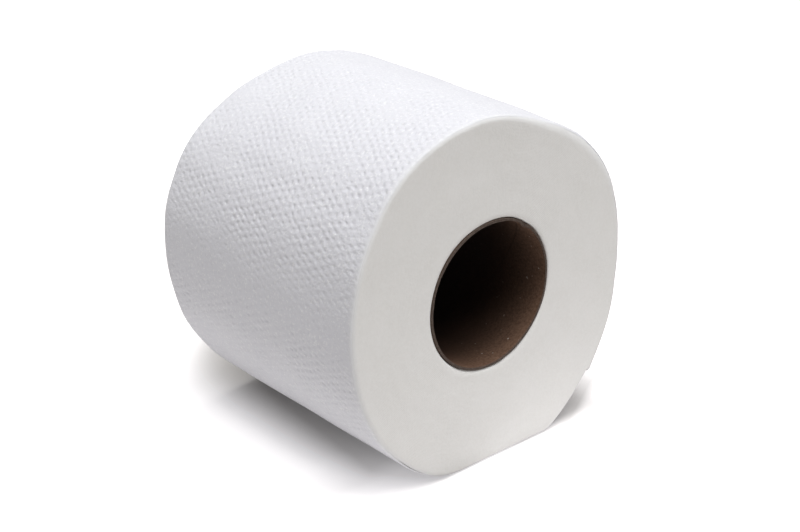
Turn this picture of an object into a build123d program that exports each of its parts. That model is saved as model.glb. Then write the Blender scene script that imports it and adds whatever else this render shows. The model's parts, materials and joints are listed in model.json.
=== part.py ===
"""A toilet paper roll lying on its side, on the small flat spot that its weight presses into it.

Millimetres. +X is to the right and +Z up as the front end is seen, and +Y runs along the core
from the front end to the back end. The origin is on the surface that the roll lies on, straight
below the core's axis and half way along the roll.
"""

import os
from math import cos, radians, sin

from build123d import *

os.makedirs("parts", exist_ok=True)

# ---------------------------------------------------------------- driving dimensions

roll_width = 92.0  # along the core: the width that the log was sawn to
roll_radius = 56.0  # mean radius of the outermost turn
flat_drop = 0.7  # how far below that mean radius the flat spot lies
flat_left = -12.0  # where the flat spot starts, from below the core's axis
flat_right = 22.0  # where the flat spot ends
edge_round = 1.5  # soft edge round both ends of the paper

core_outer_radius = 24.0  # the paper is glued to this surface
core_wall = 0.8  # two plies of card

# The wound paper is soft, and neither end is truly round. At each angle round the core,
# counter-clockwise from +X, the outermost turn stands this far outside the mean radius
# (or inside it, where negative), first at the front end and then at the back end.
swell_at_angle = {
    -58: (5.2, 5.0),
    -45: (3.5, 3.4),
    -25: (1.9, 1.8),
    -8: (-0.2, 0.3),
    15: (0.2, 1.4),
    38: (1.0, 2.4),
    65: (-0.7, 0.4),
    90: (-0.1, -2.5),
    108: (0.9, -3.2),
    125: (1.3, -2.2),
    155: (-1.1, 0.0),
    190: (-2.4, -0.9),
    215: (-0.8, -0.2),
    238: (1.5, 1.2),
}

# ---------------------------------------------------------------- sizes that follow

axis_height = roll_radius + flat_drop
core_inner_radius = core_outer_radius - core_wall
front_plane = Plane.XZ.offset(roll_width / 2)
back_plane = Plane.XZ.offset(-roll_width / 2)
axis_point = (0.0, axis_height)
along_flat = [(1, 0), (1, 0)]


def outline_points(end):
    """Points of the outermost turn at one end (0 front, 1 back), from the flat spot's right
    end round over the top to its left end, each at its angle and its own distance from the
    core's axis."""
    points = [(flat_right, 0.0)]
    for angle, swell in swell_at_angle.items():
        distance = roll_radius + swell[end]
        x = distance * cos(radians(angle))
        z = axis_height + distance * sin(radians(angle))
        points.append((x, z))
    points.append((flat_left, 0.0))
    return points


# ---------------------------------------------------------------- core

with BuildPart() as core:
    with BuildSketch(front_plane):
        with Locations(axis_point):
            Circle(core_outer_radius)
            Circle(core_inner_radius, mode=Mode.SUBTRACT)
    extrude(amount=-roll_width)

core.part.label = "core"
export_step(core.part, "parts/core.step")

# ---------------------------------------------------------------- wound paper

with BuildPart() as paper_roll:
    # At each end the outline leaves the flat spot along the flat and comes back to it so.
    for plane, end in ((front_plane, 0), (back_plane, 1)):
        with BuildSketch(plane):
            with BuildLine():
                Line((flat_left, 0.0), (flat_right, 0.0))
                Spline(*outline_points(end), tangents=along_flat, tangent_scalars=(1, 1))
            make_face()
    loft()
    fillet(paper_roll.faces().filter_by(Axis.Y).edges(), radius=edge_round)
    with BuildSketch(front_plane):
        with Locations(axis_point):
            Circle(core_outer_radius)
    extrude(amount=-roll_width, mode=Mode.SUBTRACT)

paper_roll.part.label = "paper_roll"
export_step(paper_roll.part, "parts/paper_roll.step")
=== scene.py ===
# %% [markdown]
# # A toilet paper roll
# The real thing is one long strip of embossed tissue wound on a card tube and sawn to width.
# It is soft, so it lies on a small flat spot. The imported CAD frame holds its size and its
# out-of-round shape, and every surface below is worked out from that frame with numpy.

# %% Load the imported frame
import json

import bpy
import numpy as np
from mathutils import Matrix, Vector


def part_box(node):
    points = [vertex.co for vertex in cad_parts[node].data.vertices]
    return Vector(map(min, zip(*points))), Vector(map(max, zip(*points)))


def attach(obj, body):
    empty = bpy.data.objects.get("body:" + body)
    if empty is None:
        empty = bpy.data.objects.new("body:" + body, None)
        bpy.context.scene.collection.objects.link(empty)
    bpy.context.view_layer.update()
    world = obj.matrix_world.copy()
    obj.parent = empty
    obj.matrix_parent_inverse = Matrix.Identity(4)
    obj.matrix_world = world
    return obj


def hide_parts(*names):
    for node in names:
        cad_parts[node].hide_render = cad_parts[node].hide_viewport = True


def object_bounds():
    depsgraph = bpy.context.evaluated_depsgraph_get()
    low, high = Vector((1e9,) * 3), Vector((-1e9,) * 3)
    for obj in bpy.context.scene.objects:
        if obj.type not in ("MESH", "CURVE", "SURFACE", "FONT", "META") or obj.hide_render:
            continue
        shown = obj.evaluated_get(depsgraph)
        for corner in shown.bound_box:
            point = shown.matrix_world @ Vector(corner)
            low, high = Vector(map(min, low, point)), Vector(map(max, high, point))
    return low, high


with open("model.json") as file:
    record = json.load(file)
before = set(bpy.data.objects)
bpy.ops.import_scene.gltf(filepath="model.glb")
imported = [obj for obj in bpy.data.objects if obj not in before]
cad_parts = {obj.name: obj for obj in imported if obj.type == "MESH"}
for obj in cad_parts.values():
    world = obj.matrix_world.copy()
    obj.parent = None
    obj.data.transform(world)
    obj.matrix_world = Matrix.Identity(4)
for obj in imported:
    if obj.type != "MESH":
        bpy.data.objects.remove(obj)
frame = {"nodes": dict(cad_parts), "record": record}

MM = 0.001
TURN = 2.0 * np.pi
cad_low, cad_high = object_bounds()
print("CAD box:", [round(v / MM, 2) for v in cad_low], [round(v / MM, 2) for v in cad_high])

# %% [markdown]
# ## The sizes that everything follows
# A roll is described from its core: angles and distances are measured round the core's axis.
# The axis height, the radii and the width are read from the frame and never typed in again.

# %% Sizes from the frame
core_low, core_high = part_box("core")
axis_z = (core_low[2] + core_high[2]) / 2
core_radius = (core_high[2] - core_low[2]) / 2
bore = next(m for m in frame["record"]["mounts"] if m["name"] == "core_bore")
bore_radius = bore["dims"]["r_mm"] * MM
half_width = cad_high[1]
print(f"axis {axis_z / MM:.2f}, core {core_radius / MM:.2f}, bore {bore_radius / MM:.2f},",
      f"half width {half_width / MM:.2f} mm")

# %% [markdown]
# ## The camera
# A camera can be placed by typing in a location and a rotation, but then nobody can see where it
# looks. Here it stands at an azimuth and an elevation from a point near the middle of the roll,
# and is tipped by half a degree. Its lens is a long one, so the roll keeps its proportions.

# %% Camera
CAMERA_AIM = np.array([0.6, -3.7, 51.8]) * MM
CAMERA_DISTANCE = 508.5 * MM
LENS_MM, SENSOR_MM = 72.0, 36.0
azimuth, elevation, roll = np.radians([-40.76, 24.39, -0.50])

towards = np.array([np.sin(azimuth) * np.cos(elevation), -np.cos(azimuth) * np.cos(elevation),
                    np.sin(elevation)])
level_right = np.array([np.cos(azimuth), np.sin(azimuth), 0.0])
level_up = np.cross(towards, level_right)
right = np.cos(roll) * level_right + np.sin(roll) * level_up
up = np.cross(towards, right)
place = CAMERA_AIM + towards * CAMERA_DISTANCE

lens = bpy.data.cameras.new("camera")
lens.lens = LENS_MM
lens.sensor_width = SENSOR_MM
camera = bpy.data.objects.new("camera", lens)
turned_axes = np.column_stack([right, up, towards])
camera.matrix_world = Matrix([[*row, at] for row, at in zip(turned_axes, place)] + [[0, 0, 0, 1]])
bpy.context.scene.collection.objects.link(camera)
bpy.context.scene.camera = camera
print("camera at", np.round(place / MM, 1), "mm")

# %% [markdown]
# ## Floor and light
# White paper on a white floor shows its form only when soft light falls unevenly. One large soft
# box stands overhead, a second one more to the front, and a weak one behind on the right brings
# out that edge. A single hard lamp would turn each embossed dot into a black speck.

# %% Floor
FLOOR_SIZE = 6.0
FLOOR_UNDER = 0.1 * MM
FLOOR_CORNERS = np.array([(-1, -1), (1, -1), (1, 1), (-1, 1)]) * FLOOR_SIZE / 2

floor_mesh = bpy.data.meshes.new("floor")
floor_mesh.from_pydata([(x, y, -FLOOR_UNDER) for x, y in FLOOR_CORNERS], [], [(0, 1, 2, 3)])
floor = bpy.data.objects.new("floor", floor_mesh)
bpy.context.scene.collection.objects.link(floor)
print("floor:", FLOOR_SIZE, "m across")

# %% Soft boxes
SOFTBOX_SIDE = 1.1
SOFTBOX_DISTANCE = 2.0
WATTS_AT_ONE_METRE = 9.87
# Each soft box has the way to it from the roll, and a strength.
SOFTBOXES = {
    "overhead": ((0.0, 0.0, 1.0), 0.440),
    "front": ((0.0, -0.35, 0.94), 0.666),
    "back_right": ((0.80, 0.45, 0.42), 0.10),
}

for name, (direction, strength) in SOFTBOXES.items():
    softbox = bpy.data.lights.new(name, "AREA")
    softbox.shape = "SQUARE"
    softbox.size = SOFTBOX_SIDE
    softbox.energy = WATTS_AT_ONE_METRE * strength * SOFTBOX_DISTANCE ** 2
    softbox_object = bpy.data.objects.new(name, softbox)
    softbox_object.location = Vector(direction).normalized() * SOFTBOX_DISTANCE
    softbox_object.rotation_mode = "QUATERNION"
    softbox_object.rotation_quaternion = Vector(direction).to_track_quat("Z", "Y")
    bpy.context.scene.collection.objects.link(softbox_object)
    print(f"{name}: {softbox.energy:.1f} W")

# %% [markdown]
# ## The room
# Weak light comes from all round, as from the walls of a white room. The walls look fully white
# where nothing stands in front of them, but give the roll only a quarter of that light, or the
# form would wash out. The picture keeps plain contrast, with no film look.

# %% Room light
ROOM_LIGHT = 0.25
WALL_SEEN = 1.0

room = bpy.data.worlds.new("room")
room.use_nodes = True
wall = room.node_tree.nodes["Background"]
seen = room.node_tree.nodes.new("ShaderNodeLightPath")
brightness = room.node_tree.nodes.new("ShaderNodeMapRange")
brightness.inputs["To Min"].default_value = ROOM_LIGHT
brightness.inputs["To Max"].default_value = WALL_SEEN
room.node_tree.links.new(seen.outputs["Is Camera Ray"], brightness.inputs["Value"])
room.node_tree.links.new(brightness.outputs[0], wall.inputs["Strength"])
wall.inputs["Color"].default_value = (1.0, 1.0, 1.0, 1.0)
bpy.context.scene.world = room
bpy.context.scene.view_settings.view_transform = "Standard"
print("room light:", ROOM_LIGHT)

# %% [markdown]
# ## Wiring a material
# Each finish is a small network of nodes. One helper adds a node and sets its sockets by name,
# so that a material reads as a list of what it is made from.


# %% Material helper
class Finish:
    """A named material with its Principled shader, and short ways to add and join nodes."""

    def __init__(self, name):
        self.material = bpy.data.materials.new(name)
        self.material.use_nodes = True
        self.tree = self.material.node_tree
        self.shader = self.tree.nodes["Principled BSDF"]
        self.place = self.add("ShaderNodeTexCoord").outputs["Object"]

    def add(self, kind, settings=None, **sockets):
        """A new node. settings are its own properties. Each socket takes a plain value or
        another node's output, and is given by its name, or as i and its number."""
        node = self.tree.nodes.new(kind)
        for key, value in (settings or {}).items():
            setattr(node, key, value)
        for key, value in sockets.items():
            numbered = key[0] == "i" and key[1:].isdigit()
            self.join(value, node.inputs[int(key[1:]) if numbered else key.replace("_", " ")])
        return node

    def join(self, value, socket):
        """Links an output to the socket, or sets the socket to a plain value."""
        if isinstance(value, bpy.types.NodeSocket):
            self.tree.links.new(value, socket)
        else:
            socket.default_value = value

    def math(self, operation, first, second=0.0):
        """One step of arithmetic on two numbers."""
        return self.add("ShaderNodeMath", {"operation": operation}, i0=first, i1=second).outputs[0]

    def noise(self, scale, stretch=(1.0, 1.0, 1.0), detail=2.0, roughness=0.5):
        """Noise between 0 and 1, of that many cells to a metre, stretched along the axes."""
        mapping = self.add("ShaderNodeMapping", Vector=self.place, Scale=stretch)
        return self.add("ShaderNodeTexNoise", Vector=mapping.outputs[0], Scale=scale,
                        Detail=detail, Roughness=roughness).outputs["Fac"]

    def attribute(self, name):
        """A number stored at each point of the mesh."""
        return self.add("ShaderNodeAttribute", {"attribute_name": name}).outputs["Fac"]

    def spread(self, value, low, high, to_low=0.0, to_high=1.0):
        """value between low and high, carried over to between to_low and to_high."""
        return self.add("ShaderNodeMapRange", i0=value, i1=low, i2=high, i3=to_low,
                        i4=to_high).outputs[0]

    def blend(self, share, first, second):
        """A colour between the first, at share 0, and the second, at share 1."""
        mix = self.add("ShaderNodeMix", {"data_type": "RGBA"})
        self.join(share, mix.inputs[0])
        for colour, socket in ((first, mix.inputs[6]), (second, mix.inputs[7])):
            self.join((*colour, 1.0) if isinstance(colour, tuple) else colour, socket)
        return mix.outputs[2]

    def bump(self, height, distance, strength=1.0, normal=None):
        """A shading normal tipped as if the surface rose by height times distance."""
        node = self.add("ShaderNodeBump", Height=height, Distance=distance, Strength=strength)
        if normal is not None:
            self.join(normal, node.inputs["Normal"])
        return node.outputs[0]

    def matt(self, roughness, specular):
        """Sets how rough the surface is, and how strong its plain reflection."""
        self.shader.inputs["Roughness"].default_value = roughness
        self.shader.inputs["Specular IOR Level"].default_value = specular


print("material helper ready")

# %% [markdown]
# ## The glowing floor
# The floor itself glows, though it is no lamp: painted light that throws light up onto the low
# parts of the roll. Under the roll a patch is left without glow, a painted shadow, or the roll
# would seem to float. The patch is widest a little behind its middle, and its left side draws in
# towards both ends, as the roll's own shadow does.

# %% The painted shadow patch
SHADE_LEFT, SHADE_RIGHT = -24.0 * MM, 38.0 * MM
SHADE_FRONT, SHADE_BACK = -42.0 * MM, 66.0 * MM
SHADE_TAPER, TAPER_FROM, TAPER_REACH = 22.0 * MM, 18.0 * MM, 66.0 * MM
TAPER_POWER, TAPER_MOST = 4.0, 1.2

table_top = Finish("table_top")
table_xyz = table_top.add("ShaderNodeSeparateXYZ", Vector=table_top.place)
across, along = table_xyz.outputs["X"], table_xyz.outputs["Y"]


def plus(first, second):
    """first + second, at each place on the table."""
    return table_top.math("ADD", first, second)


def minus(first, second):
    """first - second, at each place on the table."""
    return table_top.math("SUBTRACT", first, second)


def times(first, second):
    """first x second, at each place on the table."""
    return table_top.math("MULTIPLY", first, second)


def highest(first, *others):
    """The largest of several numbers, at each place on the table."""
    for other in others:
        first = table_top.math("MAXIMUM", first, other)
    return first


# Distances outside each side of the patch. The taper is (|y - widest| / reach)^4, held at a most.
from_widest = table_top.math("ABSOLUTE", minus(along, TAPER_FROM))
reach_share = table_top.math("DIVIDE", from_widest, TAPER_REACH)
reach_share = table_top.math("MINIMUM", reach_share, TAPER_MOST)
taper = times(table_top.math("POWER", reach_share, TAPER_POWER), SHADE_TAPER)
left_of = minus(plus(taper, SHADE_LEFT), across)
side_of = highest(left_of, minus(across, SHADE_RIGHT))
front_of = minus(SHADE_FRONT, along)
back_of = minus(along, SHADE_BACK)
shade_wide, shade_deep = SHADE_RIGHT - SHADE_LEFT, SHADE_BACK - SHADE_FRONT
print(f"dark patch {shade_wide / MM:.0f} x {shade_deep / MM:.0f} mm")

# %% [markdown]
# ## The table's own glow
# The glow has no hard edge. A colour ramp gives its strength over the distance outside the
# painted shadow patch, with one ramp for the sides and a stronger one for the front, where the
# table lights the face that is turned to the viewer. Near the patch's corners the two are blended.

# %% The table's own glow
GLOW_FAR = 160.0 * MM
CORNER_BLEND = 10.0 * MM
# Strengths by the distance outside the patch, in mm.
GLOW_SIDE = {0.0: 0.0, 12.0: 0.0, 24.0: 0.25, 40.0: 0.39, 80.0: 0.45, 160.0: 0.0}
GLOW_FRONT = {0.0: 0.0, 8.0: 0.75, 26.0: 0.85, 60.0: 0.41, 120.0: 0.0}


def light_at(distance, strength_at):
    """How strong a light is at a distance: straight lines between the strengths given."""
    ramp = table_top.add("ShaderNodeValToRGB", Fac=table_top.math("DIVIDE", distance, GLOW_FAR))
    stops = ramp.color_ramp.elements
    while len(stops) < len(strength_at):
        stops.new(0.5)
    for stop, (at, strength) in zip(stops, strength_at.items()):
        stop.position = at * MM / GLOW_FAR
        stop.color = (strength, strength, strength, 1.0)
    return ramp.outputs["Color"]


front_share = table_top.spread(minus(front_of, side_of), -CORNER_BLEND, CORNER_BLEND)
side_glow = times(light_at(side_of, GLOW_SIDE), minus(1.0, front_share))
front_glow = times(light_at(front_of, GLOW_FRONT), front_share)
# Painted light: the floor's glow, left out in the painted shadow patch.
own_glow = plus(side_glow, front_glow)
print("table glow: sides up to", max(GLOW_SIDE.values()), "front up to", max(GLOW_FRONT.values()))

# %% [markdown]
# ## The table as it is seen
# A second glow is added that only the camera's own rays meet: it whitens the table round the
# shadow, and lights nothing. Its ramps draw the outline of the soft shadow, so that outline is
# painted shadow rather than cast by the lamps. It is the highest of several ramps, one for each
# side of the shadow.

# %% The table as it is seen
# Strengths by the distance outside each side, in mm.
LIFT_SIDE = {0.0: 0.02, 4.0: 0.07, 8.0: 0.16, 12.0: 0.30, 16.0: 0.38, 20.0: 0.44, 28.0: 0.40,
             160.0: 0.60}
LIFT_BACK = {0.0: 0.0, 15.0: 0.30, 30.0: 0.40, 160.0: 0.60}
LIFT_CORNER = {0.0: 0.0, 1.0: 0.10, 2.0: 0.20, 3.5: 0.34, 8.0: 0.40, 160.0: 0.60}
LIFT_INSIDE = {0.0: 0.02, 20.0: 0.05, 40.0: 0.08, 48.0: 0.11, 57.0: 0.15, 65.0: 0.22, 69.0: 0.30,
               73.0: 0.37, 84.0: 0.42, 160.0: 0.60}
LIFT_FAR = {0.0: 0.0, 30.0: 0.0, 60.0: 0.40, 160.0: 0.60}
LIFT_RIGHT = 58.0 * MM
SIDE_FADES = {"low": -60.0 * MM, "high": -15.0 * MM, "to_low": 0.3, "to_high": 1.0}
CORNER_AT = (39.0 * MM, -45.0 * MM)
CORNER_FACES = (0.475, -0.880)
CORNER_OUT = 1.2 * MM
INSIDE_BACK = 40.0 * MM
INSIDE_FADES = {"low": -15.0 * MM, "high": 15.0 * MM, "to_low": 1.0, "to_high": 0.15}

side_lift = times(light_at(left_of, LIFT_SIDE), table_top.spread(along, **SIDE_FADES))
right_of = minus(across, LIFT_RIGHT)
corner_x = times(minus(across, CORNER_AT[0]), CORNER_FACES[0])
corner_y = times(minus(along, CORNER_AT[1]), CORNER_FACES[1])
corner_of = plus(plus(corner_x, corner_y), CORNER_OUT)
ahead = minus(INSIDE_BACK, along)
inside_lift = times(light_at(ahead, LIFT_INSIDE), table_top.spread(across, **INSIDE_FADES))
# Painted shadow: this camera-only glow rises away from the roll, so its ramps draw the shadow's
# outline.
lift = highest(side_lift, light_at(left_of, LIFT_FAR), light_at(front_of, LIFT_FAR),
               light_at(back_of, LIFT_BACK), light_at(right_of, LIFT_BACK),
               light_at(corner_of, LIFT_CORNER), inside_lift)
seen_directly = table_top.add("ShaderNodeLightPath").outputs["Is Camera Ray"]
print("table is lifted by up to", LIFT_FAR[160.0], "where it is seen directly")

# %% Table top finish
TABLE_DARK, TABLE_PALE = (0.612, 0.592, 0.573), (0.622, 0.602, 0.583)
TABLE_GLOW = (0.98, 0.968, 1.0, 1.0)

table_colour = table_top.blend(table_top.noise(3.0), TABLE_DARK, TABLE_PALE)
table_top.join(table_colour, table_top.shader.inputs["Base Color"])
table_top.matt(0.9, 0.1)
table_top.shader.inputs["Emission Color"].default_value = TABLE_GLOW
# The emission is the floor's painted glow plus the camera-only painted glow round the shadow.
table_top.join(plus(own_glow, times(lift, seen_directly)),
               table_top.shader.inputs["Emission Strength"])
floor_mesh.materials.append(table_top.material)
print("table_top:", len(table_top.tree.nodes), "nodes")

# %% [markdown]
# ## Repeatable roughness
# Paper is never quite even. Random numbers would change the shape at each run, so the unevenness
# comes from a seeded grid of values, blended smoothly from each cell to the next.


# %% Smooth noise on arrays
NOISE_CELLS = 256


def smooth_noise(x, y, seed, wrap=NOISE_CELLS):
    """Value noise between -1 and 1: each whole cell corner holds a seeded random value, and a
    point takes the blend of its four corners, eased by 3t^2 - 2t^3. The pattern repeats after
    wrap cells in x."""
    table = np.random.default_rng(seed).uniform(-1.0, 1.0, (NOISE_CELLS, NOISE_CELLS))
    cell_x, cell_y = np.floor(x).astype(int), np.floor(y).astype(int)
    part_x, part_y = x - cell_x, y - cell_y
    part_x, part_y = (p * p * (3 - 2 * p) for p in (part_x, part_y))
    left, beyond = cell_x % wrap, (cell_x + 1) % wrap
    low, high = cell_y % NOISE_CELLS, (cell_y + 1) % NOISE_CELLS
    bottom = table[left, low] * (1 - part_x) + table[beyond, low] * part_x
    top = table[left, high] * (1 - part_x) + table[beyond, high] * part_x
    return bottom * (1 - part_y) + top * part_y


def round_noise(turns, cells, seed, along=0.0):
    """Smooth noise that closes up round the roll: that many cells to a turn, taken along cells
    on in the other direction."""
    return smooth_noise(turns * cells, along + 0 * turns, seed, wrap=cells)


def hill(x, width):
    """A smooth hill of height 1 round x = 0: exp(-(x / width)^2)."""
    return np.exp(-((x / width) ** 2))


def angle_from(angle, degrees):
    """Signed angle from a direction given in degrees, between minus and plus half a turn."""
    return (angle - np.radians(degrees) + np.pi) % TURN - np.pi


def axis_to_table(angle):
    """How far the table is from the core's axis in the direction of an angle:
    axis height / -sin(angle), or a metre where the direction doesn't point down enough."""
    down = -np.sin(angle)
    return np.where(down > 0.2, axis_z / np.maximum(down, 0.2), 1.0)


print("straight down, the table is", round(float(axis_to_table(-np.pi / 2)) / MM, 2), "mm away")

# %% [markdown]
# ## A closed skin from a grid
# Every piece of the roll is a ring: a closed profile carried once round the core. Its points form
# a grid that joins up both ways, like the skin of a doughnut, so no edge is left open.


# %% Mesh from a closed grid
SHARP_DEGREES = 60.0


def ring_skin(name, grid, numbers, chart=None):
    """Makes a mesh object from grid[row, column, xyz]. Each cell becomes a quad, and the last
    row and column join the first. Six times the enclosed volume is the sum of a . (b x c) over
    the triangles; where it comes out negative, the quads are turned over to face outwards.
    numbers are stored at the points. chart[row, column, uv] has one column more than the grid,
    so that a pattern can run on across the join."""
    rows, columns = grid.shape[:2]
    corner = np.arange(rows * columns).reshape(rows, columns)
    beside = np.roll(corner, -1, axis=1)
    quads = np.stack([corner, beside, np.roll(beside, -1, axis=0), np.roll(corner, -1, axis=0)],
                     axis=-1).reshape(-1, 4)
    points = grid.reshape(-1, 3)
    a, b, c, d = (points[quads[:, k]] for k in range(4))
    volume = (np.sum(a * np.cross(b, c)) + np.sum(a * np.cross(c, d))) / 6
    turned = -1 if volume < 0 else 1
    quads = quads[:, ::turned]
    mesh = bpy.data.meshes.new(name)
    mesh.vertices.add(len(points))
    mesh.vertices.foreach_set("co", points.ravel())
    mesh.loops.add(quads.size)
    mesh.loops.foreach_set("vertex_index", quads.ravel().astype(np.int32))
    mesh.polygons.add(len(quads))
    mesh.polygons.foreach_set("loop_start", np.arange(0, quads.size, 4, dtype=np.int32))
    mesh.update(calc_edges=True)
    mesh.shade_smooth()
    mesh.set_sharp_from_angle(angle=np.radians(SHARP_DEGREES))
    for key, values in numbers.items():
        at_points = np.broadcast_to(values, grid.shape[:2]).ravel().astype(np.float32)
        mesh.attributes.new(key, "FLOAT", "POINT").data.foreach_set("value", at_points)
    if chart is not None:
        next_row = np.roll(chart, -1, axis=0)
        corners = np.stack([chart[:, :-1], chart[:, 1:], next_row[:, 1:], next_row[:, :-1]], axis=2)
        corners = corners.reshape(-1, 4, 2)[:, ::turned]
        mesh.uv_layers.new(name="chart").data.foreach_set("uv", corners.astype(np.float32).ravel())
    made = bpy.data.objects.new(name, mesh)
    bpy.context.scene.collection.objects.link(made)
    print(f"{name}: {2 * len(quads)} triangles, {abs(volume) / MM ** 3:.0f} mm3")
    return made


def round_axis(distance, angle, y):
    """Points at those distances from the core's axis, angles counter-clockwise from +X, and
    places along the core: x = d cos a, z = axis + d sin a."""
    return np.stack(np.broadcast_arrays(distance * np.cos(angle), y,
                                        axis_z + distance * np.sin(angle)), axis=-1)


print("a point on top of the core:", round_axis(core_radius, np.pi / 2, 0.0).round(4), "m")

# %% [markdown]
# ## The outline of the wound paper
# The squashed outline is the frame's own. Its vertices near each end give a distance at an angle,
# which is sampled evenly and then rebuilt from its first few dozen waves, so that the facets of
# the CAD mesh don't show in the light.

# %% Read the outline at both ends
SAMPLES = 2880
WAVES = 60
CAD_EDGE_ROUND = 1.5 * MM
NEAR_PLANE = 0.2 * MM
OUTSIDE_FROM = 1.5 * core_radius
even_angles = np.arange(SAMPLES) * TURN / SAMPLES


def outline_near(node, y):
    """Distance of the node's outside from the core's axis at SAMPLES even angles, near plane y."""
    mesh = frame["nodes"][node].data
    flat_list = np.empty(3 * len(mesh.vertices))
    mesh.vertices.foreach_get("co", flat_list)
    px, py, pz = flat_list.reshape(-1, 3).T
    distance = np.hypot(px, pz - axis_z)
    near = (np.abs(py - y) < NEAR_PLANE) & (distance > OUTSIDE_FROM)
    angle = np.arctan2(pz - axis_z, px)[near]
    ring = np.interp(even_angles, angle % TURN, distance[near], period=TURN)
    waves = np.fft.rfft(ring)
    waves[WAVES:] = 0
    return np.fft.irfft(waves, SAMPLES), int(near.sum())


front_ring, front_count = outline_near("paper_roll", -half_width + CAD_EDGE_ROUND)
back_ring, back_count = outline_near("paper_roll", half_width - CAD_EDGE_ROUND)
for end, ring, count in (("front", front_ring, front_count), ("back", back_ring, back_count)):
    print(f"{end}: {count} points, {ring.min() / MM:.2f} to {ring.max() / MM:.2f} mm from the axis")

# %% [markdown]
# ## From outline to surface
# Between its ends the roll swells a little, because the saw squeezes its ends, and its turns lie
# in long shallow waves. Slack turns stand out on the right, the shoulder above them lies in, and
# the back end stands out at the upper left. Where the sheet's free tail lies, it lifts in a low
# hump. Where all this would reach below the table, it is pressed flat.

# %% The roll's outer surface
BARREL = 0.45 * MM
WAVE_HEIGHT = 0.19 * MM
# Each of these has a height, a direction in degrees and a width in radians.
SLACK, SLACK_AT, SLACK_WIDTH = 1.1 * MM, -20.0, 0.84
SHOULDER, SHOULDER_AT, SHOULDER_WIDTH = 1.1 * MM, 62.0, 0.37
BACK_SWELL, BACK_SWELL_AT, BACK_SWELL_WIDTH = 0.9 * MM, 138.0, 0.35
# The tail's hump rises over one angle and fades over another, both in radians.
TAIL_DEGREES = -43.0
TAIL_HUMP, HUMP_RISE, HUMP_FADE = 0.9 * MM, 0.02, 0.12


def past_tail_angle(angle):
    """How far round from the tail an angle is: 0 just above it, a whole turn just under it."""
    return (angle - np.radians(TAIL_DEGREES)) % TURN


def roll_surface(angle, y):
    """Distance of the roll's outer surface from the core's axis. It is the front and back
    outlines blended by how far along y lies, plus a barrel 1 - (2 along - 1)^2, plus two sizes
    of waves, plus or minus hills round three directions, plus a hump that fades as
    exp(-past the tail / HUMP_FADE), all held above the table."""
    along = np.clip((y + half_width) / (2 * half_width), 0.0, 1.0)
    front = np.interp(angle % TURN, even_angles, front_ring, period=TURN)
    back = np.interp(angle % TURN, even_angles, back_ring, period=TURN)
    turns = angle % TURN / TURN
    waves = round_noise(turns, cells=28, seed=3, along=y / (14 * MM))
    waves = waves + 0.6 * round_noise(turns, cells=61, seed=4, along=y / (30 * MM))
    distance = front * (1 - along) + back * along
    distance = distance + BARREL * (1 - (2 * along - 1) ** 2) + WAVE_HEIGHT * waves
    distance = distance + SLACK * np.exp(-((angle_from(angle, SLACK_AT) / SLACK_WIDTH) ** 4))
    distance = distance - SHOULDER * hill(angle_from(angle, SHOULDER_AT), SHOULDER_WIDTH)
    back_swell = BACK_SWELL * hill(angle_from(angle, BACK_SWELL_AT), BACK_SWELL_WIDTH)
    distance = distance + along * back_swell
    past = past_tail_angle(angle)
    risen = np.clip(past / HUMP_RISE, 0.0, 1.0)
    distance = distance + TAIL_HUMP * np.exp(-past / HUMP_FADE) * risen
    return np.minimum(distance, axis_to_table(angle))


middle = roll_surface(even_angles, 0.0 * even_angles)
step = np.hypot(np.diff(middle, append=middle[0]), middle * TURN / SAMPLES)
distance_round = np.concatenate([[0.0], np.cumsum(step)])
girth = distance_round[-1]
lowest = (axis_z + middle * np.sin(even_angles)).min()
print(f"girth {girth / MM:.1f} mm, lowest point {abs(lowest) / MM:.3f} mm from the table")

# %% [markdown]
# ## The embossed dots
# The outermost turn is pressed between steel rollers that leave a dense field of small round
# hollows in slanting rows. Bump in the material would vanish at the outline, so the hollows are
# true relief, and the finish only sharpens them. Three cosine waves, one of them the difference
# of the other two, add up to round dots.

# %% Dots
DOT_WAVES = np.array([[143, 242.0], [135, -170.0], [8, 412.0]])
DOT_DEPTH = 0.11 * MM
WANDER, WANDER_FINE = 0.42, 0.34
PRESS, PRESS_PATCHES, PRESS_SINGLE = 0.85, 0.45, 0.6
PRESS_LEAST, PRESS_MOST = 0.05, 1.7


def dot_place(distance, y):
    """Where a point falls on the roller: (turns round, place along). The web wanders as it
    passes the roller, so both are shifted by smooth noise, coarse and fine."""
    turns = distance / girth
    wander = WANDER * round_noise(turns, cells=41, seed=11, along=y / (8 * MM))
    wander = wander + WANDER_FINE * round_noise(turns, cells=110, seed=14, along=y / (3.2 * MM))
    sideways = WANDER * round_noise(turns, cells=37, seed=12, along=y / (9 * MM))
    sideways = sideways + WANDER_FINE * round_noise(turns, cells=104, seed=15, along=y / (3.4 * MM))
    return turns + wander * MM / girth, y + sideways * MM


def dot_relief(turns, y):
    """How far down a point lies in its dot: 0 between the dots, 1 at the middle of one. It is the
    mean of three cosines, moved to between 0 and 1. Each wave fits a whole number of times
    round the roll, and a number of times in a metre along it."""
    waves = [np.cos(TURN * (per_turn * turns + per_metre * y)) for per_turn, per_metre in DOT_WAVES]
    return (sum(waves) / 3 + 0.5) / 1.5


def press(turns, y):
    """How hard the roller pressed, from PRESS_LEAST to PRESS_MOST. It changes from patch to
    patch and from one dot to the next."""
    patches = round_noise(turns, cells=31, seed=13, along=y / (10 * MM))
    single = round_noise(turns, cells=150, seed=16, along=y / (2.4 * MM))
    pressed = PRESS + PRESS_PATCHES * patches + PRESS_SINGLE * single
    return np.clip(pressed, PRESS_LEAST, PRESS_MOST)


dot_spacing = 1.0 / np.hypot(DOT_WAVES[:, 0] / girth, DOT_WAVES[:, 1]) / MM
print("rows of dots are", np.round(dot_spacing, 2), "mm apart in three directions")

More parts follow.
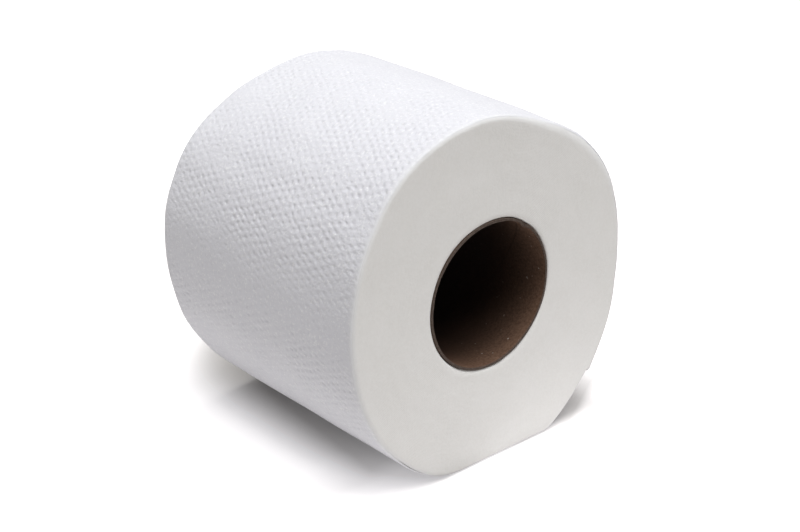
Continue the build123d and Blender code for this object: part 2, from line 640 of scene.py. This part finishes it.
# %% [markdown]
# ## The soft edges
# Both ends of the roll are soft where the sawn face meets the side. At the front the edge is
# small all round, but at the upper right the ends of the turns lie over and make it much larger.
# Its profile is a quarter of an ellipse, and the outermost sheet curls only part of the way.

# %% Soft edges
EDGE_REACH = 2.6 * MM
EDGE_DROP = 3.4 * MM
FRONT_EDGE, BACK_EDGE = 0.45, 0.6
LARGER_BY, LARGER_AT, LARGER_WIDTH = 0.75, 42.0, 0.50
SHEET = 0.32 * MM
SHEET_AT_EDGE = 0.05 * MM
SHEET_CURL = np.radians(38.0)
ROWS = 156
CURL_ROWS = 4


def edge_size(angle, end):
    """How large the soft edge is at an angle, as a share of EDGE_REACH and EDGE_DROP. At the
    front (end below 0) it is FRONT_EDGE plus a hill round LARGER_AT. At the back it is even."""
    front = FRONT_EDGE + LARGER_BY * hill(angle_from(angle, LARGER_AT), LARGER_WIDTH)
    return np.where(end < 0, front, BACK_EDGE)


def sheet_thickness(bend):
    """A full sheet on the side, pressed thin by the saw where it curls round the edge."""
    return SHEET + (SHEET_AT_EDGE - SHEET) * np.clip(bend / SHEET_CURL, 0.0, 1.0)


def edge_profile():
    """Along the side and round both soft edges of the roll: (y, drop below the outer surface,
    bend) for the front edge, the side and the back edge. Round an edge the place along y is
    reach x (1 - sin bend) from the end, and the drop is EDGE_DROP x (1 - cos bend)."""
    bend = np.linspace(SHEET_CURL, 0.0, CURL_ROWS + 1)[:-1]
    y_front = -half_width + EDGE_REACH * (1 - np.sin(bend))
    side = np.linspace(-half_width + EDGE_REACH, half_width - EDGE_REACH, ROWS - 2 * CURL_ROWS)
    y = np.concatenate([y_front, side, -y_front[::-1]])
    all_bend = np.concatenate([bend, 0 * side, bend[::-1]])
    return y, EDGE_DROP * (1 - np.cos(all_bend)), all_bend


outer_y, outer_drop, outer_bend = edge_profile()
largest = FRONT_EDGE + LARGER_BY
print(f"front edge: {FRONT_EDGE * EDGE_REACH / MM:.1f} to {largest * EDGE_REACH / MM:.1f} mm long")

# %% [markdown]
# ## The outermost turn
# One sheet goes once round the roll, from the free tail end on its right side, over the top and
# back under its own tail. It is a thin closed shell rather than a single skin, so the tail and
# both edges have a real thickness. The outer skin carries the dots. The inner one is hidden, so
# it makes do with a few rows.

# %% Where the sheet's rows and columns stand
COLUMNS = 574
INNER_STEP = 24
TAIL_GAP = 0.10 * MM

gap_angle = TAIL_GAP / middle.mean()
past_tail = np.linspace(gap_angle, TURN - gap_angle, COLUMNS)
start = np.interp(np.radians(TAIL_DEGREES) % TURN, even_angles, distance_round[:-1])
column_distance = (start + (past_tail / TURN) * girth) % girth
column_angle = np.interp(column_distance, distance_round, np.append(even_angles, TURN))

rim_rows = CURL_ROWS + 1
hidden_rows = np.arange(rim_rows, ROWS - rim_rows, INNER_STEP)
inner_pick = np.concatenate([np.arange(rim_rows), hidden_rows, np.arange(ROWS - rim_rows, ROWS)])
print(f"{ROWS} outer rows, {len(inner_pick)} inner rows, {COLUMNS} columns")

# %% Outermost turn
TAIL_LIFT, TAIL_LIFT_FADE = 0.25 * MM, 0.10
TAIL_WAVE, TAIL_WAVE_FADE = 0.25 * MM, 0.25
LOOSE_DEGREES, LOOSE_WIDTH = -126.0, 0.12
LOOSE_LIFT, LOOSE_DEEP = 0.06 * MM, 8 * MM
DOTS_FREE_AT = 0.8 * MM
EDGE_PRESSED = 1.6 * MM
RAGGED, RAGGED_DEEP = 0.06 * MM, 3 * MM


def outer_turn_grid():
    """The shell's grid: outer rows from front to back, then inner rows from back to front, one
    sheet thickness below. The outer skin is the roll's surface, less the edge's drop, plus the
    spiral's step, less the dots. The tail stands on the turn beneath it by one sheet, and that
    step fades out evenly over one turn, as in a spiral."""
    angle, y = np.meshgrid(column_angle, outer_y)
    size = edge_size(angle, y)
    bend = outer_bend[:, None]
    round_the_edge = np.sign(y) * (half_width - size * EDGE_REACH * (1 - np.sin(bend)))
    along_side = y * (half_width - size * EDGE_REACH) / (half_width - EDGE_REACH)
    y = np.where(bend > 0, round_the_edge, along_side)
    end_in = half_width - np.abs(y)

    # The tail's end is torn in small waves, and it stands up a little.
    tail_wave = TAIL_WAVE * smooth_noise(y / (3.1 * MM), 0 * y, 21) / middle.mean()
    from_tail = np.minimum(past_tail, TURN - past_tail)
    angle = angle + tail_wave * hill(from_tail, TAIL_WAVE_FADE)[None, :]
    spiral = SHEET * (1 - past_tail / TURN) + TAIL_LIFT * np.exp(-past_tail / TAIL_LIFT_FADE)
    loose = LOOSE_LIFT * hill(angle_from(angle, LOOSE_DEGREES), LOOSE_WIDTH)
    loose = loose * np.exp(-end_in / LOOSE_DEEP)

    # The dots are faint near the ends, and gone where the roll lies on the table.
    height = axis_z + roll_surface(angle, y) * np.sin(angle)
    free = np.clip(height / DOTS_FREE_AT, 0.0, 1.0)
    near_edge = np.clip(end_in / EDGE_PRESSED, 0.25, 1.0)
    distance = start + past_tail[None, :] / TURN * girth + 0 * y
    roller_turns, roller_y = dot_place(distance, y)
    pressed = press(distance / girth, y) * near_edge * free
    dots = -DOT_DEPTH * dot_relief(roller_turns, roller_y) * pressed

    skin = roll_surface(angle, y) - outer_drop[:, None] * size
    skin = skin + spiral[None, :] * free + loose + dots
    skin = np.minimum(skin, axis_to_table(angle))
    ragged = RAGGED * round_noise(past_tail / TURN, cells=90, seed=31)
    edge_share = np.clip((RAGGED_DEEP - end_in) / RAGGED_DEEP, 0.0, 1.0)
    y_ragged = y + np.sign(y) * ragged[None, :] * edge_share

    back = inner_pick[::-1]
    outer = round_axis(skin, angle, y_ragged)
    under = (skin - dots - sheet_thickness(outer_bend)[:, None])[back]
    inner = round_axis(under, angle[back], y_ragged[back])
    on_roller = np.stack([roller_turns, roller_y / (2 * half_width)], axis=-1)
    chart = np.concatenate([on_roller, on_roller[back]])
    chart = np.concatenate([chart, chart[:, :1] + [[[1.0, 0.0]]]], axis=1)
    numbers = {"pressed": np.concatenate([pressed, 0 * under]),
               "edge": np.concatenate([edge_share, edge_share[back]])}
    return np.concatenate([outer, inner]), numbers, chart


grid, numbers, chart = outer_turn_grid()
outer_turn = ring_skin("outer_turn", grid, numbers, chart)

# %% [markdown]
# ## The wound body
# Below the outermost turn lie some hundred more. They are pressed so tight that only their sawn
# ends show, as one soft face with faint rings, so they are one closed form. Its profile runs up
# the front face, round the edge, along under the outermost turn, down the back face and home
# through the bore, where the paper is glued to the core.

# %% Wound body
BODY_COLUMNS = 600
FACE_ROWS, EDGE_ROWS, SIDE_ROWS, BORE_ROWS = 46, 12, 9, 7
FACE_SWELL, FACE_SWELL_FINE = 0.16 * MM, 0.05 * MM
LIP, LIP_WIDTH = 0.35 * MM, 0.02
GLUE_GAP = 0.32 * MM
GLUE_FROM_END = 1.8 * MM
LOOSE_GAP = 0.16 * MM
UNDER_SHEET = 0.02 * MM
BODY_DEPTH = 30 * MM


def face_swell(turns, share, end):
    """How far a sawn face stands out, from the core (share 0) to the rim (share 1): coarse
    swells with fine ones on them."""
    coarse = round_noise(turns, cells=9, seed=41 + end, along=share * 3.0)
    fine = round_noise(turns, cells=40, seed=43 + end, along=share * 12.0)
    return FACE_SWELL * coarse + FACE_SWELL_FINE * fine


def face_rows(angle, end):
    """The profile up one sawn face and round its edge. Each row is (points, distance from the
    core, how much it belongs to the edge). On the face, distance = core + (rim - core) x share,
    so each ring is the outline shrunk towards the core. Round the edge, the drop and the place
    along y follow the same quarter ellipse as the sheet's."""
    turns = angle / TURN
    size = edge_size(angle, end)
    gap = LOOSE_GAP * hill(angle_from(angle, LOOSE_DEGREES), LOOSE_WIDTH) if end < 0 else 0.0
    over_turns = SHEET * (1 - past_tail_angle(angle) / TURN) - gap
    rim = roll_surface(angle, 0 * angle + end * half_width) + over_turns
    rim = rim - EDGE_DROP * size - sheet_thickness(np.pi / 2)
    glue = GLUE_GAP * (0.75 + 0.5 * round_noise(turns, cells=11, seed=47))
    inside = core_radius + glue
    rows = []
    for share in np.linspace(0.0, 1.0, FACE_ROWS):
        distance = inside + (rim - inside) * share
        swell = face_swell(turns, share, end) * np.clip(share * 6, 0.2, 1.0)
        y = end * (half_width + swell - LIP * hill(share, LIP_WIDTH))
        rows.append((round_axis(distance, angle, y), distance - core_radius, 0 * angle))
    for bend in np.linspace(np.pi / 2, 0.0, EDGE_ROWS)[1:]:
        y_edge = end * (half_width - EDGE_REACH * size * (1 - np.sin(bend)))
        distance = roll_surface(angle, y_edge) + over_turns - EDGE_DROP * size * (1 - np.cos(bend))
        distance = distance - sheet_thickness(bend) - UNDER_SHEET
        y = y_edge + end * face_swell(turns, 1.0, end) * np.sin(bend) ** 2
        rows.append((round_axis(distance, angle, y), distance - core_radius,
                     0 * angle + np.cos(bend)))
    return rows


def wound_body_grid():
    """The whole profile: front face, side, back face and bore, as (points, depth, edge)."""
    angle = np.arange(BODY_COLUMNS) * TURN / BODY_COLUMNS
    under = SHEET * past_tail_angle(angle) / TURN + UNDER_SHEET
    side = []
    for y in np.linspace(-1.0, 1.0, SIDE_ROWS)[1:-1] * (half_width - EDGE_REACH):
        points = round_axis(roll_surface(angle, 0 * angle + y) - under, angle, y + 0 * angle)
        side.append((points, 0 * angle + BODY_DEPTH, 0 * angle + 1))
    glued_to = half_width - GLUE_FROM_END
    bore_wall = [(round_axis(core_radius + 0 * angle, angle, y + 0 * angle), 0 * angle, 0 * angle)
                 for y in np.linspace(glued_to, -glued_to, BORE_ROWS)]
    profile = face_rows(angle, -1) + side + face_rows(angle, 1)[::-1] + bore_wall
    return [np.array(part) for part in zip(*profile)]


grid, depth, edge = wound_body_grid()
wound_body = ring_skin("wound_body", grid, {"turn_depth": depth, "edge": edge})

# %% [markdown]
# ## The core tube
# The core is two plies of grey-brown card wound in a spiral and glued. Its inner ply meets
# itself along a helix, the seam, which is a true groove here. The ring of the sawn end shows both
# plies. At the front the card has a small dent, and the end of the inner ply stands off a little.

# %% Seam
SEAM_LEAD = 89.0 * MM
SEAM_AT = 17.8 * MM


def seam_distance(angle, y):
    """How far a point of the bore is from the seam, measured along the core. The seam moves
    by one lead each turn: depth = start - lead x angle / turn."""
    depth = y + half_width
    return (depth - SEAM_AT + SEAM_LEAD * angle / TURN + SEAM_LEAD / 2) % SEAM_LEAD - SEAM_LEAD / 2


pitch = np.degrees(np.arctan(SEAM_LEAD / (TURN * bore_radius)))
print(f"the seam climbs at {pitch:.0f} degrees")

# %% Core tube
CORE_COLUMNS = 360
TUBE_ROWS, OUTSIDE_ROWS = 150, 10
DENT, DENT_AT, DENT_WIDTH, DENT_DEEP = 0.75 * MM, 54.0, 0.075, 3 * MM
PLY_STEP, PLY_END_AT, PLY_END_WIDTH = 0.25 * MM, 77.0, 0.015
PLY_FADE_AT, PLY_FADE_WIDTH = 90.0, 0.5
RIM_WAVE, RIM_INSET = 0.10 * MM, 0.10 * MM
GLUE_LINE = 0.04 * MM
GROOVE, GROOVE_WIDTH = 0.14 * MM, 0.5 * MM
RIPPLE = 0.06 * MM
TUBE_FROM_END, OUTSIDE_FROM_END = 0.4 * MM, 1 * MM
# The sawn rim from outside to inside: share of the wall, and how deep in mm. Its middle dips
# where the two plies meet.
RIM_PROFILE = ((0.0, 0.12), (0.06, 0.03), (0.25, 0.0), (0.45, 0.0), (0.5, 0.07), (0.55, 0.0),
               (0.75, 0.0), (0.94, 0.03), (1.0, 0.12))


def core_tube_grid():
    """Profile rows: front rim from outside to inside, the bore from front to back, the back rim
    and the outside. The bore is its radius plus the seam's groove and long shallow waves, less
    the dent and the ply's step, which fade as exp(-depth / DENT_DEEP)."""
    angle = np.arange(CORE_COLUMNS) * TURN / CORE_COLUMNS
    wall = core_radius - bore_radius
    outside = core_radius - GLUE_LINE
    dent = DENT * hill(angle_from(angle, DENT_AT), DENT_WIDTH)
    ply_starts = 1 / (1 + np.exp(-angle_from(angle, PLY_END_AT) / PLY_END_WIDTH))
    ply_step = PLY_STEP * ply_starts * hill(angle_from(angle, PLY_FADE_AT), PLY_FADE_WIDTH)
    rim_wave = RIM_WAVE * round_noise(angle / TURN, cells=40, seed=51)

    def rim(end, set_back, inward):
        """One rim's rows, each (distance, y, 1 for a rim)."""
        face = end * (half_width - RIM_INSET - rim_wave - set_back)
        return [(outside - (wall + inward) * share, face - end * deep * MM, 1.0)
                for share, deep in RIM_PROFILE]

    profile = rim(-1, dent, dent + ply_step)
    for depth in np.linspace(TUBE_FROM_END, 2 * half_width - TUBE_FROM_END, TUBE_ROWS):
        y = depth - half_width
        groove = GROOVE * hill(seam_distance(angle, y + 0 * angle), GROOVE_WIDTH)
        waves = round_noise(angle / TURN, cells=14, seed=52, along=y / (9 * MM))
        pushed_in = (dent + ply_step) * np.exp(-depth / DENT_DEEP)
        profile.append((bore_radius + groove + RIPPLE * waves - pushed_in, y, 0.0))
    profile += rim(1, 0.0, 0.0)[::-1]
    outside_end = half_width - OUTSIDE_FROM_END
    profile += [(outside, y, 0.0) for y in np.linspace(outside_end, -outside_end, OUTSIDE_ROWS)]
    points = [round_axis(distance + 0 * angle, angle, y + 0 * angle) for distance, y, _ in profile]
    seams = [seam_distance(angle, y + 0 * angle) for _, y, _ in profile]
    rims = [is_rim + 0 * angle for _, _, is_rim in profile]
    return np.array(points), np.array(seams), np.array(rims)


grid, seams, rims = core_tube_grid()
core_tube = ring_skin("core_tube", grid, {"seam": seams, "rim": rims})

# %% [markdown]
# ## Tissue sheet
# Tissue is creped pulp: white, quite matt, and fuzzy close up. The side of the roll shows the
# sheet's own surface, a little cool, with painted shade darkening its dots and small painted
# glints, a painted highlight where loose fibres would catch the light. Near the sawn edges the
# colour is paler, a painted highlight where the edge turns up to the light. Creping leaves fine
# wrinkles in it. Bump gives all that is too fine for the mesh, in layers from wrinkles down to
# fibres, and it fades out at the sawn edges.

# %% Tissue sheet colours
HOLLOW_POWER = 1.7
SHEET_WHITE, HOLLOW_SHADE_WHITE = (0.703, 0.704, 0.744), (0.683, 0.683, 0.726)
PAINTED_GLINT_WHITE, CLOUD_WHITE = (0.86, 0.86, 0.87), (0.82, 0.82, 0.83)
EDGE_HIGHLIGHT_WHITE = (0.735, 0.737, 0.745)

tissue = Finish("tissue_sheet")
on_chart = tissue.add("ShaderNodeUVMap", {"uv_map": "chart"}).outputs[0]
roller = tissue.add("ShaderNodeSeparateXYZ", Vector=on_chart)
waves = []
for per_turn, per_metre in DOT_WAVES:
    per_width = per_metre * 2 * half_width
    turned = tissue.math("MULTIPLY", roller.outputs["X"], float(TURN * per_turn))
    moved = tissue.math("MULTIPLY", roller.outputs["Y"], float(TURN * per_width))
    waves.append(tissue.math("COSINE", tissue.math("ADD", turned, moved)))
wave_sum = tissue.math("ADD", tissue.math("ADD", waves[0], waves[1]), waves[2])
dot_share = tissue.spread(tissue.math("DIVIDE", wave_sum, 3.0), -0.5, 1.0)
hollow = tissue.math("POWER", dot_share, HOLLOW_POWER)
hollow = tissue.math("MULTIPLY", hollow, tissue.attribute("pressed"))

# Painted highlight: small bright specks in the base colour, standing in for loose fibres that catch
# the light.
painted_glint = tissue.spread(tissue.noise(1300.0, detail=1.0), 0.58, 0.70, 0.0, 0.6)
cloud = tissue.spread(tissue.noise(45.0, detail=2.0), 0.3, 0.7, 0.0, 0.10)
edge = tissue.math("POWER", tissue.attribute("edge"), 2.0)
# Painted shade: the colour darkens in the dots' hollows.
shade = tissue.blend(hollow, SHEET_WHITE, HOLLOW_SHADE_WHITE)
shade = tissue.blend(painted_glint, shade, PAINTED_GLINT_WHITE)
shade = tissue.blend(cloud, shade, CLOUD_WHITE)
# Painted highlight: paler near the sawn edges, where the edge turns up to the light.
shade = tissue.blend(edge, shade, EDGE_HIGHLIGHT_WHITE)
tissue.join(shade, tissue.shader.inputs["Base Color"])
print("tissue_sheet colours:", SHEET_WHITE, "darker in the dots:", HOLLOW_SHADE_WHITE)

# %% Tissue sheet bump
WRINKLES, GRIT, FIBRES, DOT_RIM = 0.18 * MM, 0.20 * MM, 0.06 * MM, 0.11 * MM

away = tissue.math("SUBTRACT", 1.0, edge)
wrinkles = tissue.noise(700.0, stretch=(1.0, 0.5, 1.0), detail=3.0, roughness=0.6)
grit = tissue.noise(1100.0, detail=2.0, roughness=0.6)
fibres = tissue.noise(2600.0, detail=3.0, roughness=0.6)
bumped = tissue.bump(wrinkles, WRINKLES, away)
bumped = tissue.bump(grit, GRIT, away, bumped)
bumped = tissue.bump(fibres, FIBRES, away, bumped)
bumped = tissue.bump(tissue.math("SUBTRACT", 1.0, hollow), DOT_RIM, normal=bumped)
tissue.join(bumped, tissue.shader.inputs["Normal"])
tissue.matt(0.85, 0.25)
tissue.shader.inputs["Sheen Weight"].default_value = 0.15
tissue.shader.inputs["Sheen Roughness"].default_value = 0.5
outer_turn.data.materials.append(tissue.material)
print("tissue_sheet:", len(tissue.tree.nodes), "nodes")

# %% [markdown]
# ## Sawn tissue
# The sawn ends show thousands of cut fibres, which are warmer and smoother to the eye than the
# sheet. The turns show as faint rings, so the bump follows the distance from the core that is
# stored in the mesh, and noise breaks the rings up, because the saw smears them. A ring that
# shows stands for a turn or a little more.

# %% Sawn tissue finish
RING_PITCH = 0.42 * MM
SAWN_GREY, SAWN_PALE = (0.712, 0.703, 0.684), (0.730, 0.721, 0.707)
FUZZ_WHITE = (0.755, 0.748, 0.735)
RINGS, FLUFF, LINT = 0.02 * MM, 0.07 * MM, 0.06 * MM

sawn = Finish("sawn_tissue")
blotch = sawn.spread(sawn.noise(90.0, detail=3.0), 0.3, 0.7)
fuzz = sawn.spread(sawn.noise(1100.0, detail=2.0), 0.35, 0.65, 0.0, 0.5)
colour = sawn.blend(blotch, SAWN_GREY, SAWN_PALE)
colour = sawn.blend(fuzz, colour, FUZZ_WHITE)
# Painted highlight: paler round the soft edge, where it turns up to the light.
colour = sawn.blend(sawn.attribute("edge"), colour, EDGE_HIGHLIGHT_WHITE)
sawn.join(colour, sawn.shader.inputs["Base Color"])
sawn.matt(0.95, 0.2)

turn_count = sawn.math("MULTIPLY", sawn.attribute("turn_depth"), float(TURN / RING_PITCH))
turn_lines = sawn.math("MULTIPLY", sawn.math("SINE", turn_count), sawn.noise(160.0))
bumped = sawn.bump(turn_lines, RINGS)
bumped = sawn.bump(sawn.noise(650.0, detail=3.0, roughness=0.6), FLUFF, normal=bumped)
bumped = sawn.bump(sawn.noise(1800.0, detail=3.0, roughness=0.6), LINT, normal=bumped)
sawn.join(bumped, sawn.shader.inputs["Normal"])
wound_body.data.materials.append(sawn.material)
print("sawn_tissue:", len(sawn.tree.nodes), "nodes, rings", round(RING_PITCH / MM, 2), "mm apart")

# %% [markdown]
# ## Core card
# The core is made from recycled board, so it is a dull grey-brown, mottled and grainy. Near its
# ends it is paler, with a few white specks of tissue dust from the saw. Deeper in the bore the
# card is near black, which is painted shade. The colour follows the distance from the end, so
# that it needs no picture.

# %% Core card finish
DUST_AND_SHADE_REACH, DUST_AND_SHADE_POWER = 30.0 * MM, 2.6
SHADED_BARE_DARK, SHADED_BARE_PALE = (0.014, 0.007, 0.0045), (0.022, 0.011, 0.0075)
DUSTY_DARK, DUSTY_PALE = (0.098, 0.055, 0.035), (0.185, 0.110, 0.074)
CUT_DARK, CUT_PALE = (0.064, 0.046, 0.037), (0.115, 0.088, 0.074)
JOINT_BROWN, SPECK_WHITE = (0.02, 0.012, 0.008), (0.40, 0.36, 0.33)
GRAIN = 0.05 * MM

card = Finish("core_card")
along_core = card.add("ShaderNodeSeparateXYZ", Vector=card.place).outputs["Y"]
from_end = card.math("SUBTRACT", half_width, card.math("ABSOLUTE", along_core))
# Dust near the ends, and painted shade that darkens the card deeper in the bore.
dust_and_shade = card.math("POWER", card.spread(from_end, 0.0, DUST_AND_SHADE_REACH, 1.0, 0.0), DUST_AND_SHADE_POWER)
mottle = card.spread(card.noise(220.0, detail=4.0, roughness=0.65), 0.3, 0.7)
grain = card.noise(1400.0, detail=3.0, roughness=0.6)
grain_share = card.spread(grain, 0.3, 0.7)
seam = card.math("ABSOLUTE", card.attribute("seam"))
joint = card.spread(seam, 0.20 * MM, 0.45 * MM, 0.4, 0.0)
speck = card.spread(card.noise(900.0, detail=0.0), 0.80, 0.84, 0.0, 0.8)

# Painted shade: the bare card deep in the bore is near black.
shaded_bare = card.blend(mottle, SHADED_BARE_DARK, SHADED_BARE_PALE)
dusty = card.blend(grain_share, DUSTY_DARK, DUSTY_PALE)
colour = card.blend(dust_and_shade, shaded_bare, dusty)
colour = card.blend(joint, colour, JOINT_BROWN)
colour = card.blend(card.math("MULTIPLY", speck, dust_and_shade), colour, SPECK_WHITE)
cut = card.blend(grain_share, CUT_DARK, CUT_PALE)
colour = card.blend(card.attribute("rim"), colour, cut)
card.join(colour, card.shader.inputs["Base Color"])
card.join(card.bump(grain, GRAIN), card.shader.inputs["Normal"])
card.matt(0.8, 0.12)
core_tube.data.materials.append(card.material)
print("core_card:", len(card.tree.nodes), "nodes")

# %% [markdown]
# ## What each piece stands for
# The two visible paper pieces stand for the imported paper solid, and the tube for the packed
# core. Nothing on a roll moves by itself, so all of them ride on its one body.

# %% Join the pieces to the frame
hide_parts("paper_roll")
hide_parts("paper_roll")
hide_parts("core")
for piece, slot in ((outer_turn, "tissue"), (wound_body, "tissue"), (core_tube, "core_card")):
    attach(piece, "root")
    print(f"{piece.name}: rides on root, slot {slot}")
